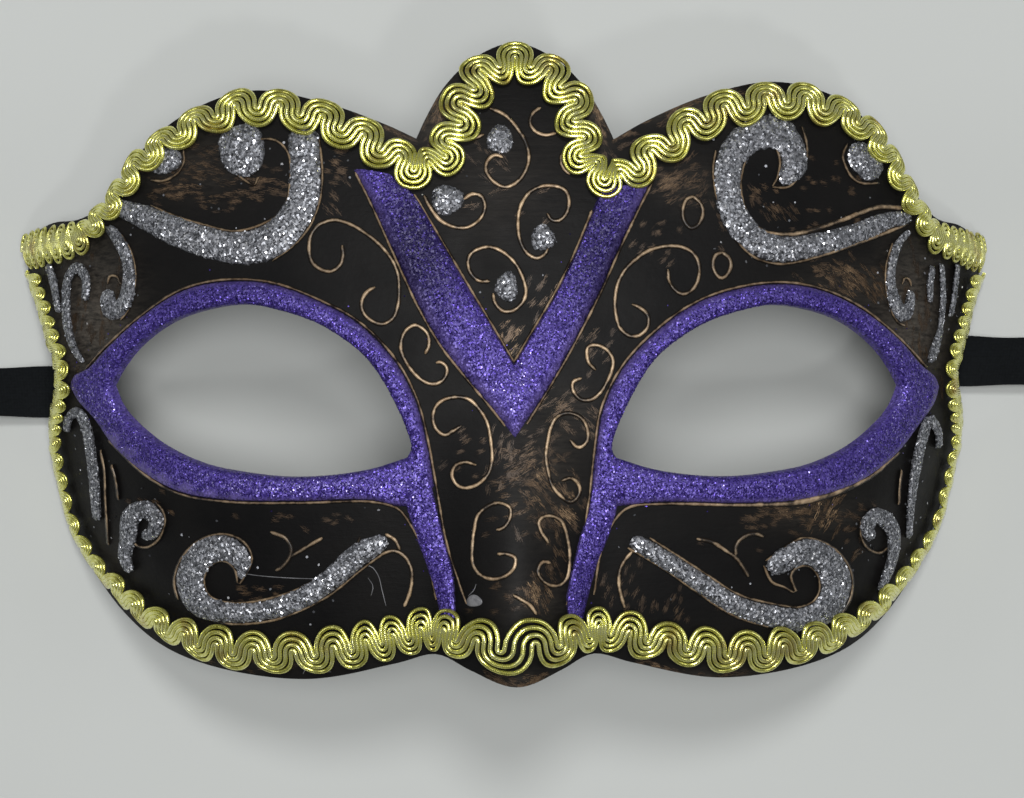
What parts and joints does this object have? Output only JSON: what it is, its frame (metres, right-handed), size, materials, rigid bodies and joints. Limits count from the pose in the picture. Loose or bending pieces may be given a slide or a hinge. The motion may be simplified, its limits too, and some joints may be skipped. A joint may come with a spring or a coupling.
{
  "type": "masquerade eye mask",
  "caption": "Moulded half mask with almond eye openings and a nose ridge, edged with gold gimp braid and tied by black ribbons at the temples.",
  "frame": {"origin": "on the table, under the middle of the mask without its ribbons", "axes": "+X across the mask to the right as seen, +Y from chin to brow, +Z the way the face looks, up from the table"},
  "size_m": [0.242, 0.1083, 0.0567],
  "materials": {
    "black_plastic": "black satin plastic",
    "gold_braid": "gold metallic thread gimp",
    "black_ribbon": "black woven ribbon",
    "bronze_paint": "dry brushed bronze paint on the raised lines",
    "purple_glitter": "purple glitter in clear glue",
    "silver_glitter": "silver glitter in clear glue",
    "clear_glue": "drawn strings and a smear of clear glue"
  },
  "bodies": {
    "root": {"shell": "black_plastic", "braid_top": "gold_braid", "braid_bottom": "gold_braid", "ribbon_left": "black_ribbon", "ribbon_right": "black_ribbon"}
  },
  "joints": []
}
